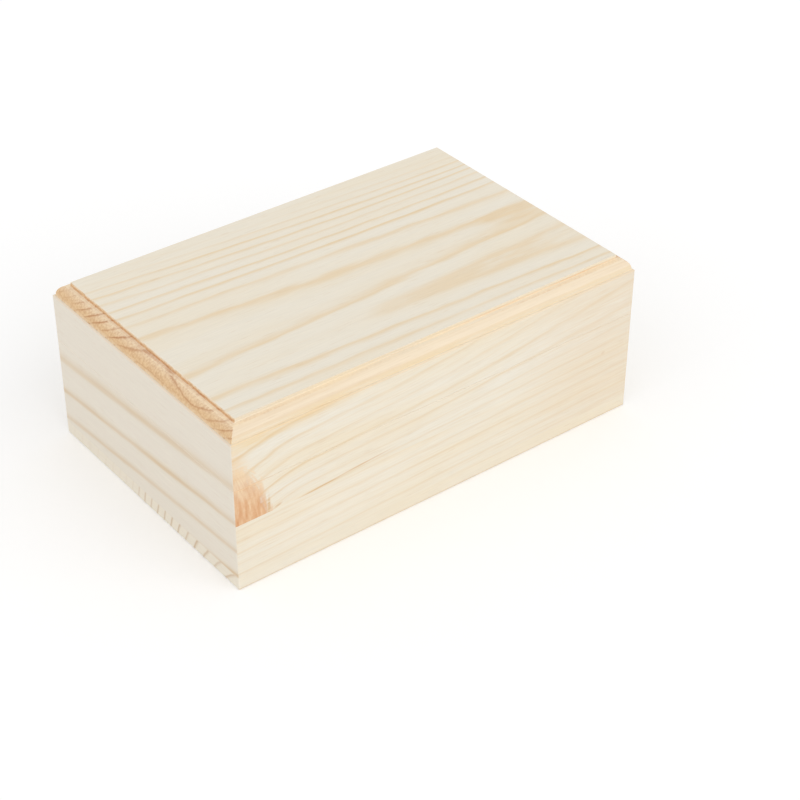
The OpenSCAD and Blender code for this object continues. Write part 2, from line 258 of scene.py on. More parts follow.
    # Knot: orange wood whose strands follow its outline, redder towards the cut
    if knot:
        part = add(tree, "ShaderNodeSeparateXYZ", {0: spot_in_knot}).node.outputs
        width = add(tree, "ShaderNodeMath", {0: part["Z"], 1: part["Z"]}, operation="MULTIPLY")
        width = add(tree, "ShaderNodeMath", {0: 1.0, 1: width}, operation="SUBTRACT")
        width = add(tree, "ShaderNodeMath", {0: width, 1: 0.03}, operation="MAXIMUM")
        width = add(tree, "ShaderNodeMath", {0: width}, operation="SQRT")
        lane = add(tree, "ShaderNodeMath", {0: part["X"], 1: width}, operation="DIVIDE")
        lane = add(tree, "ShaderNodeCombineXYZ", {0: lane, 2: part["Z"]})
        lane = add(tree, "ShaderNodeVectorMath",
                   {0: lane, 1: (size[0] * KNOT_STRANDS[0], 0, size[1] * KNOT_STRANDS[1])},
                   operation="MULTIPLY")
        strands = add(tree, "ShaderNodeTexNoise", {"Vector": lane, "Scale": 1, "Detail": 3})
        mottle = add(tree, "ShaderNodeVectorMath", {0: mm, 1: KNOT_BLOTCHES}, operation="MULTIPLY")
        mottle = add(tree, "ShaderNodeTexNoise", {"Vector": mottle, "Scale": 1, "Detail": 3})
        strands = add(tree, "ShaderNodeMath", {0: strands, 1: mottle}, operation="ADD")
        strands = add(tree, "ShaderNodeMapRange", {"Value": strands, "From Min": 0.72, "From Max": 1.3})
        low = add(tree, "ShaderNodeMapRange", {"Value": part["Z"], "From Min": 1.0, "From Max": 0.05})
        border = add(tree, "ShaderNodeMath", {0: strands, 1: 0.22, 2: reach}, operation="MULTIPLY_ADD")
        inside = add(tree, "ShaderNodeMapRange", {"Value": border, "From Min": 1.2, "From Max": 0.98},
                     interpolation_type="SMOOTHSTEP")
        faint = add(tree, "ShaderNodeMapRange", {"Value": low, "From Max": 0.6, "To Min": 0.62})
        inside = add(tree, "ShaderNodeMath", {0: inside, 1: faint}, operation="MULTIPLY")
        deep = add(tree, "ShaderNodeMath", {0: strands, 1: 0.66, 2: -0.2}, operation="MULTIPLY_ADD")
        deep = add(tree, "ShaderNodeMath", {0: low, 1: 0.6, 2: deep}, operation="MULTIPLY_ADD",
                   use_clamp=True)
        knotted = add(tree, "ShaderNodeMix", {0: deep, 6: KNOT_PALE, 7: KNOT_DARK}, 2, data_type="RGBA")
        colour = add(tree, "ShaderNodeMix", {0: inside, 6: colour, 7: knotted}, 2, data_type="RGBA")
    shade = add(tree, "ShaderNodeMapRange",
                {"Value": noise["fibre"], "From Min": 0.3, "From Max": 0.7, "To Min": 0.965, "To Max": 1.02})
    colour = add(tree, "ShaderNodeVectorMath", {0: colour, "Scale": shade}, operation="SCALE")

    # Sanded surface: the fibres and the harder lines stand a little proud
    relief = add(tree, "ShaderNodeMath", {0: late, 1: 0.2, 2: noise["fibre"]}, operation="MULTIPLY_ADD")
    normal = add(tree, "ShaderNodeBump", {"Height": relief, "Strength": 0.3, "Distance": FIBRE_RELIEF})
    rough = add(tree, "ShaderNodeMapRange", {"Value": noise["fibre"], "To Min": 0.5, "To Max": 0.72})
    shader = tree.nodes["Principled BSDF"]
    tree.links.new(colour, shader.inputs["Base Color"])
    tree.links.new(rough, shader.inputs["Roughness"])
    tree.links.new(normal, shader.inputs["Normal"])
    shader.inputs["Specular IOR Level"].default_value = 0.3
    return material


def finish_board(node, material):
    """Gives a board of the frame its wood."""
    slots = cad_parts[node].data.materials
    slots.clear()
    slots.append(material)


# The rings lie closest under the middle, and their lines fade towards the back
bottom_tightens = (13.7, ((0, 1, 0), -30, 30))
bottom_board = pine("pine_bottom_panel", "X", log_rings((-70, -22), (0.0, 0.0), bottom_tightens), ring=5.2,
                    line=31.9, mark=0.72, calm=((0, 1, 0), 2, 12, 0.15), ends=PALE_END, seed=3)
finish_board("bottom_panel", bottom_board)

# Front wall of the base
# Two pine strips edge-glued one on the other, mitred at both ends. The upper strip and the front rail of
# the lid are one board. The saw cut a knot in two at its left end, so the knot stops dead at the joint.
FRONT_LATEWOOD = linear("#dfc294")
KNOT_PALE = linear("#efd2ac")
KNOT_DARK = linear("#d08c57")
# The rings open out upwards, and the upper ones climb towards the right
front_fans_out = (-8.471, ((0, 0, 1), 32.2, 68.4))
front_climbs_right = (-10.4, ((0, 0, 1), 22.2, 90.0), ((1, 0, 0), -28.9, 93.1))
# Where rings start to bend round a knot and where they bend most, in half sizes from its middle
KNOT_BEND = (2.1, 0.95)
# Strands to the millimetre across and along the knot, and blotches to the millimetre along X, Y and Z
KNOT_STRANDS = (0.8, 0.09)
KNOT_BLOTCHES = (0.7, 0.7, 0.25)
front_knot = ((-88, 20), (16.7, 29.8), 3.2)
front_board = pine("pine_front_board", "X",
                   log_rings((-55, -200), (0.0, 0.036), front_fans_out, front_climbs_right), ring=4.02,
                   line=228.64, tone=FRONT_LATEWOOD, mark=0.76, fine=1.6, streaky=0.17,
                   calm=((1, 0, 0), -58, -34, 0.6), knot=front_knot, seed=11)
front_lower = pine("pine_front_lower_strip", "X", log_rings((-55, -200), (0.0, 0.031)), ring=4.4,
                   line=208.99, tone=FRONT_LATEWOOD, mark=0.45, fine=1.6, streaky=0.17, seed=5)

# Length and width of the streaks in a stain, in millimetres, and where a spot starts to fade and is gone,
# in half sizes from its middle
STAIN_LENGTH, STAIN_WIDTH = 18, 0.7
SPOT_CORE, SPOT_EDGE = 0.3, 1.2


def stain(material, tone, amount, *spots):
    """Soft streaky spots on an upright face, each with its middle along X and up, half length, half width
    and slope, in millimetres."""
    tree = material.node_tree
    wood = tree.nodes["Principled BSDF"].inputs["Base Color"]
    place = add(tree, "ShaderNodeTexCoord", {}, "Object")
    mm = add(tree, "ShaderNodeVectorMath", {0: place, "Scale": MM_PER_M}, operation="SCALE")
    spot = add(tree, "ShaderNodeVectorMath", {0: mm, 1: (1 / STAIN_LENGTH, 0, 1 / STAIN_WIDTH)},
               operation="MULTIPLY")
    streaks = add(tree, "ShaderNodeTexNoise", {"Vector": spot, "Scale": 1, "Detail": 2})
    streaks = add(tree, "ShaderNodeMapRange",
                  {"Value": streaks, "From Min": 0.35, "From Max": 0.6, "To Min": 0.35})
    for x, z, half_length, half_width, slope in spots:
        spot = add(tree, "ShaderNodeVectorMath", {0: mm, 1: (x, 0, z)}, operation="SUBTRACT")
        run = add(tree, "ShaderNodeVectorMath", {0: spot, 1: (1 / half_length, 0, 0)}, "Value",
                  operation="DOT_PRODUCT")
        rise = add(tree, "ShaderNodeVectorMath", {0: spot, 1: (-slope / half_width, 0, 1 / half_width)},
                   "Value", operation="DOT_PRODUCT")
        spot = add(tree, "ShaderNodeCombineXYZ", {0: run, 1: rise})
        reach = add(tree, "ShaderNodeVectorMath", {0: spot}, "Value", operation="LENGTH")
        share = add(tree, "ShaderNodeMapRange",
                    {"Value": reach, "From Min": SPOT_EDGE, "From Max": SPOT_CORE, "To Max": amount},
                    interpolation_type="SMOOTHSTEP")
        share = add(tree, "ShaderNodeMath", {0: share, 1: streaks}, operation="MULTIPLY")
        mixed = add(tree, "ShaderNodeMix", {0: share, 6: wood.links[0].from_socket, 7: tone}, 2,
                    data_type="RGBA")
        tree.links.new(mixed, wood)


# Pitch beside the knot, a brown thread in the wood
stain(front_board, linear("#ce9a50"), 0.65, (-50, 27.0, 11, 0.4, 0.085), (-34, 28.3, 14, 0.35, 0.07),
      (-68.8, 27.2, 2.0, 0.6, 0.3), (-72.0, 28.5, 0.7, 4.5, 0.0))
# Resin in the top of the board, left of the middle, and gold wood in the corner above the knot
stain(front_board, linear("#eac481"), 0.38, (-64, 57.4, 32, 3.2, 0.0))
stain(front_board, linear("#eccf9a"), 0.45, (-80, 55.8, 10, 2.4, 0.0))
stain(front_board, linear("#ebc795"), 0.65, (-86, 49.5, 7.5, 6.5, 0.0))
# A pin knot at the right
stain(front_board, linear("#c99a66"), 0.4, (72.2, 28.2, 1.1, 0.7, 0.2))
# Lips of the saw cut between base and lid, painted pale as painted light that lifts the shade in the cut,
# and orange across the knot
LIP_PAINTED_LIGHT = linear("#fbf3e4")
CUT_Z = 40.025
EVERYWHERE = 1e5
LIP_LIGHT_SPOT = (0, CUT_Z, EVERYWHERE, 0.25, 0.0)
stain(front_board, LIP_PAINTED_LIGHT, 0.4, LIP_LIGHT_SPOT)
stain(front_board, linear("#efc99d"), 0.9, (-82, CUT_Z, 14, 0.3, 0.0))
# The strips grow warmer towards the right, and the lower one is palest left of the middle
for board in (front_board, front_lower):
    stain(board, linear("#e4d0b5"), 0.48, (85, 29, 52, EVERYWHERE, 0.0))
stain(front_lower, linear("#f2eee6"), 0.22, (-42, 19, 42, 14, 0.0))
finish_board("base_front_lower_strip", front_lower)
finish_board("base_front_upper_strip", front_board)

# End walls and back wall of the base
# Solid pine boards, mitred and glued at the corners. Each is one board with the lid rail above it,
# because the box was glued up shut and the lid sawn off, so the lines run on across the cut.
BROWN_LATEWOOD = linear("#d8bd93")
left_board = pine("pine_left_board", "Y", log_rings((-50.4, 56.1), (0.0, -0.082)), ring=8.4, line=47.8,
                  tone=BROWN_LATEWOOD, fine=1.7, warm=0.1, edge=0.6, seed=7)
right_board = pine("pine_right_board", "Y", log_rings((52, 71), (0.0, 0.05)), ring=5.2, line=8.84, seed=23)
back_board = pine("pine_back_board", "X", log_rings((20, 62), (0.02, 0.03)), ring=4.6, line=6.28, seed=31)
# The lips of the saw cut on these boards are painted pale too, as painted light that lifts the shade in the
# cut
for board in (left_board, right_board, back_board):
    stain(board, LIP_PAINTED_LIGHT, 0.55, LIP_LIGHT_SPOT)
# The left board is a little pinker than the others
stain(left_board, linear("#e1cfc5"), 0.2, (0, 29, EVERYWHERE, EVERYWHERE, 0.0))
finish_board("base_left_wall", left_board)
finish_board("base_right_wall", right_board)
finish_board("base_back_wall", back_board)

# Base leaves and pins of the hinges
# Two small butt hinges: brass leaves let into the back rim, with knuckles around a steel wire pin.
# The leaves are pressed from sheet and tumbled, so that their edges are soft and catch the light.

# Tumbled sheet brass: warm yellow, clouded a little with tarnish, with fine scratches along the hinge.
# In millimetres, size of the clouds, and length and width of the scratches, drawn coarse enough to show.
BRASS = linear("#cfaa5f")
TARNISH = linear("#b48c46")
CLOUD_SIZE = 4
SCRATCH_LENGTH, SCRATCH_WIDTH = 5, 0.15
SCRATCH_DEPTH = 0.00003
brass = bpy.data.materials.new("tumbled_sheet_brass")
brass.use_nodes = True
tree = brass.node_tree
shader = tree.nodes["Principled BSDF"]
place = add(tree, "ShaderNodeTexCoord", {}, "Object")
cloud = add(tree, "ShaderNodeTexNoise", {"Vector": place, "Scale": MM_PER_M / CLOUD_SIZE, "Detail": 3})
cloud = add(tree, "ShaderNodeMapRange", {"Value": cloud, "From Min": 0.4, "From Max": 0.75})
tone = add(tree, "ShaderNodeMix", {0: cloud, 6: BRASS, 7: TARNISH}, 2, data_type="RGBA")
fine = MM_PER_M / SCRATCH_WIDTH
spot = add(tree, "ShaderNodeVectorMath", {0: place, 1: (MM_PER_M / SCRATCH_LENGTH, fine, fine)},
           operation="MULTIPLY")
scratch = add(tree, "ShaderNodeTexNoise", {"Vector": spot, "Scale": 1, "Detail": 2})
rough = add(tree, "ShaderNodeMapRange", {"Value": scratch, "To Min": 0.22, "To Max": 0.46})
normal = add(tree, "ShaderNodeBump", {"Height": scratch, "Strength": 0.15, "Distance": SCRATCH_DEPTH})
tree.links.new(tone, shader.inputs["Base Color"])
tree.links.new(rough, shader.inputs["Roughness"])
tree.links.new(normal, shader.inputs["Normal"])
shader.inputs["Metallic"].default_value = 1.0

# Drawn steel wire: grey, with fine lines along it, whose length and width are in millimetres
WIRE_LIGHT = linear("#b4b3ae")
WIRE_DARK = linear("#8f8e8a")
DRAW_LENGTH, DRAW_WIDTH = 6, 0.12
steel = bpy.data.materials.new("drawn_steel_wire")
steel.use_nodes = True
tree = steel.node_tree
shader = tree.nodes["Principled BSDF"]
place = add(tree, "ShaderNodeTexCoord", {}, "Object")
fine = MM_PER_M / DRAW_WIDTH
spot = add(tree, "ShaderNodeVectorMath", {0: place, 1: (MM_PER_M / DRAW_LENGTH, fine, fine)},
           operation="MULTIPLY")
scratch = add(tree, "ShaderNodeTexNoise", {"Vector": spot, "Scale": 1, "Detail": 2})
tone = add(tree, "ShaderNodeMix", {0: scratch, 6: WIRE_LIGHT, 7: WIRE_DARK}, 2, data_type="RGBA")
rough = add(tree, "ShaderNodeMapRange", {"Value": scratch, "To Min": 0.25, "To Max": 0.45})
tree.links.new(tone, shader.inputs["Base Color"])
tree.links.new(rough, shader.inputs["Roughness"])
shader.inputs["Metallic"].default_value = 1.0

LEAF_EDGE = 0.00012
SAME_POINT = 1e-6
FLAT_ANGLE, LEAF_CREASE, LEAF_CORNER = math.radians(0.5), math.radians(30), math.radians(50)


def leaf(side, part):
    """One leaf: the frame's leaf with its points merged and its edges tumbled soft."""
    node = f"{side}_hinge_{part}_leaf"
    shape = bmesh.new()
    shape.from_mesh(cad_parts[node].data)
    bmesh.ops.remove_doubles(shape, verts=shape.verts, dist=SAME_POINT)
    bmesh.ops.dissolve_limit(shape, angle_limit=FLAT_ANGLE, verts=shape.verts, edges=shape.edges)
    mesh = bpy.data.meshes.new(f"{side}_{part}_leaf")
    shape.to_mesh(mesh)
    shape.free()
    mesh.materials.clear()
    mesh.materials.append(brass)
    mesh.shade_smooth()
    mesh.set_sharp_from_angle(angle=LEAF_CREASE)
    piece = bpy.data.objects.new(mesh.name, mesh)
    bpy.context.scene.collection.objects.link(piece)
    soften = piece.modifiers.new("tumbled_edges", "BEVEL")
    soften.width = LEAF_EDGE
    soften.segments = 2
    soften.limit_method = "ANGLE"
    soften.angle_limit = LEAF_CORNER
    piece.modifiers.new("flat_faces", "WEIGHTED_NORMAL").keep_sharp = True
    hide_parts(node)
    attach(piece, part)


PIN_RADIUS, BUTTON_RADIUS, BUTTON_HEIGHT, BUTTON_EDGE = 0.0008, 0.00125, 0.0005, 0.0004
PIN_AROUND, EDGE_STEPS = 32, 8
PIN_CREASE = math.radians(35)


def pin(side):
    """One pin: a wire with a rounded button pressed on each end."""
    node = f"{side}_hinge_pin"
    low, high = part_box(node)
    middle = (low + high) / 2
    half_length = (high.x - low.x) / 2
    # Distance along from the middle of the pin, and radius, of its right half
    outline = [(half_length - BUTTON_HEIGHT, PIN_RADIUS), (half_length - BUTTON_HEIGHT, BUTTON_RADIUS)]
    for i in range(EDGE_STEPS + 1):
        turn = math.pi / 2 * i / EDGE_STEPS
        outline.append((half_length - BUTTON_EDGE * (1 - math.sin(turn)),
                        BUTTON_RADIUS - BUTTON_EDGE * (1 - math.cos(turn))))
    outline = [(-run, radius) for run, radius in reversed(outline)] + outline
    shape = bmesh.new()
    loops = []
    for run, radius in outline:
        turns = [math.tau * i / PIN_AROUND for i in range(PIN_AROUND)]
        loops.append([shape.verts.new(middle + Vector((run, radius * math.cos(t), radius * math.sin(t))))
                      for t in turns])
    for before, after in zip(loops, loops[1:]):
        for i in range(PIN_AROUND):
            j = (i + 1) % PIN_AROUND
            shape.faces.new((before[i], before[j], after[j], after[i]))
    shape.faces.new(loops[0])
    shape.faces.new(loops[-1])
    bmesh.ops.recalc_face_normals(shape, faces=shape.faces)
    mesh = bpy.data.meshes.new(f"{side}_pin")
    shape.to_mesh(mesh)
    shape.free()
    mesh.materials.append(steel)
    mesh.shade_smooth()
    mesh.set_sharp_from_angle(angle=PIN_CREASE)
    piece = bpy.data.objects.new(mesh.name, mesh)
    bpy.context.scene.collection.objects.link(piece)
    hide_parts(node)
    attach(piece, "base")


for side in ("left", "right"):
    leaf(side, "base")
    pin(side)

# Base screws of the hinges
# Countersunk brass wood screws with a cross recess, two to a leaf, driven flush with it.
# The shank is threaded up to the head. The recess of each stands at its own angle.
HEAD_RADIUS, SHANK_RADIUS, ROOT_RADIUS, POINT_RADIUS = 0.0017, 0.001, 0.00078, 0.00025
SCREW_LENGTH, HEAD_HEIGHT, POINT_LENGTH, THREAD_PITCH = 0.009, 0.0007, 0.0025, 0.0009
HEAD_RIM = 0.0001
RECESS_ARM, RECESS_HALF_WIDTH, RECESS_DEPTH = 0.00095, 0.000225, 0.0005
# Share of the recess that is left at its bed, at the ends of its arms and at its inner corners
ARM_TAPER, CORNER_TAPER = 0.6, 0.8
AROUND = 40
THREAD_STEPS = 72
SCREW_CREASE = math.radians(35)
SPIN_SEED = 4


def screw_pattern():
    """One screw pointing down, with the top of its head at the origin."""
    shape = bmesh.new()
    turns = [math.tau * i / AROUND for i in range(AROUND)]
    rows = [(-HEAD_RIM, HEAD_RADIUS, HEAD_RADIUS)]
    for i in range(THREAD_STEPS + 1):
        depth = HEAD_HEIGHT + (SCREW_LENGTH - HEAD_HEIGHT) * i / THREAD_STEPS
        taper = min(1.0, (SCREW_LENGTH - depth) / POINT_LENGTH)
        outer = POINT_RADIUS + (SHANK_RADIUS - POINT_RADIUS) * taper
        inner = outer if i == 0 else POINT_RADIUS + (ROOT_RADIUS - POINT_RADIUS) * taper
        rows.append((-depth, outer, inner))
    rings = [[shape.verts.new((HEAD_RADIUS * math.cos(t), HEAD_RADIUS * math.sin(t), 0)) for t in turns]]
    for z, outer, inner in rows:
        ring = []
        for t in turns:
            phase = (z / THREAD_PITCH - t / math.tau) % 1.0
            r = inner + (outer - inner) * abs(2 * phase - 1)
            ring.append(shape.verts.new((r * math.cos(t), r * math.sin(t), z)))
        rings.append(ring)
    for upper, lower in zip(rings, rings[1:]):
        for i in range(AROUND):
            j = (i + 1) % AROUND
            shape.faces.new((upper[i], lower[i], lower[j], upper[j]))
    shape.faces.new(list(reversed(rings[-1])))
    a, w = RECESS_ARM, RECESS_HALF_WIDTH
    cross = [(a, -w), (a, w), (w, w), (w, a), (-w, a), (-w, w), (-a, w), (-a, -w), (-w, -w), (-w, -a),
             (w, -a), (w, -w)]
    lip = [shape.verts.new((x, y, 0)) for x, y in cross]
    tapers = [ARM_TAPER if max(abs(x), abs(y)) > w else CORNER_TAPER for x, y in cross]
    bed = [shape.verts.new((x * s, y * s, -RECESS_DEPTH)) for (x, y), s in zip(cross, tapers)]
    for i in range(len(cross)):
        j = (i + 1) % len(cross)
        shape.faces.new((lip[i], bed[i], bed[j], lip[j]))
    shape.faces.new(bed)
    rim_edges = [shape.edges.get((rings[0][i], rings[0][(i + 1) % AROUND])) for i in range(AROUND)]
    lip_edges = [shape.edges.get((lip[i], lip[(i + 1) % len(lip)])) for i in range(len(lip))]
    bmesh.ops.triangle_fill(shape, edges=rim_edges + lip_edges, use_beauty=True, normal=(0, 0, 1))
    bmesh.ops.recalc_face_normals(shape, faces=shape.faces)
    mesh = bpy.data.meshes.new("hinge_screw")
    shape.to_mesh(mesh)
    shape.free()
    mesh.materials.append(brass)
    mesh.shade_smooth()
    mesh.set_sharp_from_angle(angle=SCREW_CREASE)
    return bpy.data.objects.new("hinge_screw", mesh)


screw_rows = bpy.data.node_groups.new("screw_rows", "GeometryNodeTree")
SCREW_INPUTS = (("Screw", "NodeSocketObject"), ("Middle", "NodeSocketVector"),
                ("Hinge Spacing", "NodeSocketFloat"), ("Screw Spacing", "NodeSocketFloat"),
                ("Turn Over", "NodeSocketFloat"), ("Finish", "NodeSocketMaterial"))
screw_rows.interface.new_socket("Geometry", in_out="INPUT", socket_type="NodeSocketGeometry")
screw_sockets = {label: screw_rows.interface.new_socket(label, in_out="INPUT", socket_type=kind).identifier
                 for label, kind in SCREW_INPUTS}
screw_rows.interface.new_socket("Geometry", in_out="OUTPUT", socket_type="NodeSocketGeometry")
given = add(screw_rows, "NodeGroupInput", {}).node.outputs
lines = []
for spacing in ("Hinge Spacing", "Screw Spacing"):
    step = add(screw_rows, "ShaderNodeCombineXYZ", {0: given[spacing]})
    first = add(screw_rows, "ShaderNodeVectorMath", {0: step, "Scale": -0.5}, operation="SCALE")
    lines.append(add(screw_rows, "GeometryNodeMeshLine",
                     {"Count": 2, "Start Location": first, "Offset": step}))
places = add(screw_rows, "GeometryNodeInstanceOnPoints", {"Points": lines[0], "Instance": lines[1]})
places = add(screw_rows, "GeometryNodeRealizeInstances", {0: places})
places = add(screw_rows, "GeometryNodeSetPosition", {"Geometry": places, "Offset": given["Middle"]})
spin = add(screw_rows, "FunctionNodeRandomValue", {"Max": math.pi / 2, "Seed": SPIN_SEED}, "Value",
           data_type="FLOAT")
angles = add(screw_rows, "ShaderNodeCombineXYZ", {0: given["Turn Over"], 2: spin})
pattern = add(screw_rows, "GeometryNodeObjectInfo", {"Object": given["Screw"]}, "Geometry")
screws = add(screw_rows, "GeometryNodeInstanceOnPoints",
             {"Points": places, "Instance": pattern, "Rotation": angles})
screws = add(screw_rows, "GeometryNodeRealizeInstances", {0: screws})
screws = add(screw_rows, "GeometryNodeSetMaterial", {"Geometry": screws, "Material": given["Finish"]})
add(screw_rows, "NodeGroupOutput", {0: screws})


def screw_set(part, turn_over):
    """All the screws of one body, where the frame has them, as one plain mesh."""
    nodes = [f"{side}_hinge_{part}_screws" for side in ("left", "right")]
    (left_low, left_high), (right_low, right_high) = [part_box(node) for node in nodes]
    middle = (left_low + right_high) / 2
    middle.z = left_low.z if turn_over else left_high.z
    sample = screw_pattern()
    bpy.context.scene.collection.objects.link(sample)
    piece = bpy.data.objects.new(f"{part}_hinge_screws", bpy.data.meshes.new(f"{part}_hinge_screws"))
    bpy.context.scene.collection.objects.link(piece)
    maker = piece.modifiers.new("screw_rows", "NODES")
    maker.node_group = screw_rows
    values = {"Screw": sample, "Middle": middle, "Hinge Spacing": right_low.x - left_low.x,
              "Screw Spacing": left_high.x - left_low.x - 2 * HEAD_RADIUS,
              "Turn Over": turn_over, "Finish": brass}
    for label, value in values.items():
        maker[screw_sockets[label]] = value
    made = piece.evaluated_get(bpy.context.evaluated_depsgraph_get())
    mesh = bpy.data.meshes.new_from_object(made)
    piece.modifiers.clear()
    piece.data = mesh
    bpy.data.objects.remove(sample)
    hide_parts(*nodes)
    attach(piece, part)


screw_set("base", 0.0)

# Lid rails
# The upper part of the four wall boards, cut off with the saw after gluing up. Same wood, same lines.
finish_board("lid_front_rail", front_board)
finish_board("lid_left_rail", left_board)
finish_board("lid_right_rail", right_board)
finish_board("lid_back_rail", back_board)

# Top panel
# A solid pine board glued on the rails, its grain along the box. A cutter worked a quarter round with a
# square step above it along all four edges, with crisp mitres. The end grain is darker brown in the corner
# of the step.
FOOT, ROUND_RADIUS, COVE_RADIUS, STEP, ARRIS = 0.0003, 0.004, 0.00035, 0.0014, 0.00015
ROUND_STEPS, COVE_STEPS = 18, 6
PANEL_CREASE, ARRIS_CORNER = math.radians(30), math.radians(35)
panel_low, panel_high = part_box("lid_top_panel")
round_z = panel_high.z - STEP - ROUND_RADIUS
cove_rise = math.sqrt((ROUND_RADIUS + COVE_RADIUS) ** 2 - COVE_RADIUS ** 2)
round_start = math.asin((panel_low.z + FOOT - round_z) / ROUND_RADIUS)
round_end = math.atan2(cove_rise, COVE_RADIUS)
# Distance out from the face of the step, and height
outline = [(ROUND_RADIUS + FOOT, panel_low.z)]
for i in range(ROUND_STEPS + 1):
    turn = round_start + (round_end - round_start) * i / ROUND_STEPS
    outline.append((ROUND_RADIUS * math.cos(turn), round_z + ROUND_RADIUS * math.sin(turn)))
for i in range(1, COVE_STEPS + 1):
    turn = math.pi + round_end * (1 - i / COVE_STEPS)
    outline.append((COVE_RADIUS * (1 + math.cos(turn)), round_z + cove_rise + COVE_RADIUS * math.sin(turn)))
outline.append((0.0, panel_high.z))
shape = bmesh.new()
loops = []
for out, z in outline:
    inset = FOOT + ROUND_RADIUS - out
    x0, x1 = panel_low.x + inset, panel_high.x - inset
    y0, y1 = panel_low.y + inset, panel_high.y - inset
    loops.append([shape.verts.new((x, y, z)) for x, y in ((x0, y0), (x1, y0), (x1, y1), (x0, y1))])
for lower, upper in zip(loops, loops[1:]):
    for i in range(4):
        j = (i + 1) % 4
        shape.faces.new((lower[i], lower[j], upper[j], upper[i]))
shape.faces.new(list(reversed(loops[0])))
shape.faces.new(loops[-1])
mesh = bpy.data.meshes.new("top_panel")
shape.to_mesh(mesh)
shape.free()
mesh.shade_smooth()
mesh.set_sharp_from_angle(angle=PANEL_CREASE)
top_panel = bpy.data.objects.new("top_panel", mesh)
bpy.context.scene.collection.objects.link(top_panel)
ease = top_panel.modifiers.new("sanded_arrises", "BEVEL")
ease.width = ARRIS
ease.segments = 2
ease.limit_method = "ANGLE"
ease.angle_limit = ARRIS_CORNER
ease.harden_normals = True

# Height of one ring across the panel at its left end, middle and right end: y and rise, in millimetres.
# The rings form a ridge under the middle and a trough in front of it, which deepens towards the right.
RING_HEIGHTS = (
    ((-56, 7.6), (-50, 4.6), (-45, 2.55), (-41, 1.0), (-37.2, 0.0), (-31.5, -1.2), (-26, -0.75),
     (-22.3, 0.0), (-14, 1.1), (-7, 1.5), (0, 0.95), (5.3, 0.0), (14.2, -2.55), (20, -5.1), (25.3, -7.65),
     (30.4, -10.2), (35.3, -12.75), (40.2, -15.3), (56, -24.0)),
    ((-56, 7.6), (-51.5, 5.1), (-45.7, 2.55), (-39.3, 0.0), (-31.5, -1.95), (-28, -2.15), (-24.5, -1.85),
     (-16.8, 0.0), (-8, 0.95), (-0.2, 0.0), (11, -2.55), (17, -5.1), (21.5, -7.65), (26.2, -10.2),
     (30.6, -12.75), (35.2, -15.3), (39.2, -17.85), (56, -28.5)),
    ((-56, 7.6), (-52, 5.1), (-47, 2.55), (-41.7, 0.0), (-34.5, -2.35), (-28, -2.55), (-21, -2.35),
     (-12, 0.0), (-7, 0.75), (-2, 0.0), (8.7, -2.55), (16.4, -5.1), (21.3, -7.65), (25.8, -10.2),
     (30, -12.75), (33.3, -15.3), (37, -17.85), (56, -31)),
)
# The trough drops where the flame starts, and the ridge sinks at the right and sags deeper in the wood
TOP_WARPS = ((0.4, ((1, 0, 0), -16, -3), ((0, 1, 0), -36, -30), ((0, -1, 0), 20, 26)),
             (0.6, ((1, 0, 0), 46, 70), ((0, 1, 0), -12.5, -8), ((0, -1, 0), 1.5, 5.5)),
             (0.7, ((0, 0, -1), -61.6, -60.0), ((0, 1, 0), -26, -12), ((0, -1, 0), -12, 0)))
# Distance of the left and right curves from the middle, in millimetres
HALF_RUN = 80


def top_rings(tree, mm, *_axes):
    """Distance above one ring of the panel, whose height follows the three curves."""
    spot = add(tree, "ShaderNodeSeparateXYZ", {0: mm}).node.outputs
    heights = []
    for points in RING_HEIGHTS:
        height = add(tree, "ShaderNodeFloatCurve", {"Value": spot["Y"]})
        mapping = height.node.mapping
        mapping.use_clip = False
        curve = mapping.curves[0]
        while len(curve.points) < len(points):
            curve.points.new(0, 0)
        for point, place in zip(curve.points, points):
            point.location = place
        mapping.update()
        heights.append(height)
    left, middle, right = heights
    run = add(tree, "ShaderNodeMath", {0: spot["X"], 1: HALF_RUN}, operation="DIVIDE")
    tilt = add(tree, "ShaderNodeMath", {0: right, 1: left}, operation="SUBTRACT")
    bend = add(tree, "ShaderNodeMath", {0: right, 1: left}, operation="ADD")
    bend = add(tree, "ShaderNodeMath", {0: middle, 1: -2.0, 2: bend}, operation="MULTIPLY_ADD")
    drift = add(tree, "ShaderNodeMath", {0: run, 1: bend, 2: tilt}, operation="MULTIPLY_ADD")
    drift = add(tree, "ShaderNodeMath", {0: drift, 1: run}, operation="MULTIPLY")
    height = add(tree, "ShaderNodeMath", {0: drift, 1: 0.5, 2: middle}, operation="MULTIPLY_ADD")
    depth = add(tree, "ShaderNodeMath", {0: spot["Z"], 1: height}, operation="SUBTRACT")
    return bend_rings(tree, mm, depth, TOP_WARPS)


# Sawn and moulded ends: orange with brown flecks
SAWN_END = (linear("#f3debf"), linear("#e6c497"), linear("#a9612a"), 0.5, 0.34)
top_wood = pine("pine_top_panel", "X", top_rings, ring=2.55, line=63.6, warm=0.6,
                calm=((0, 1, 0), 36, 44, 0.15), ends=SAWN_END, seed=17)
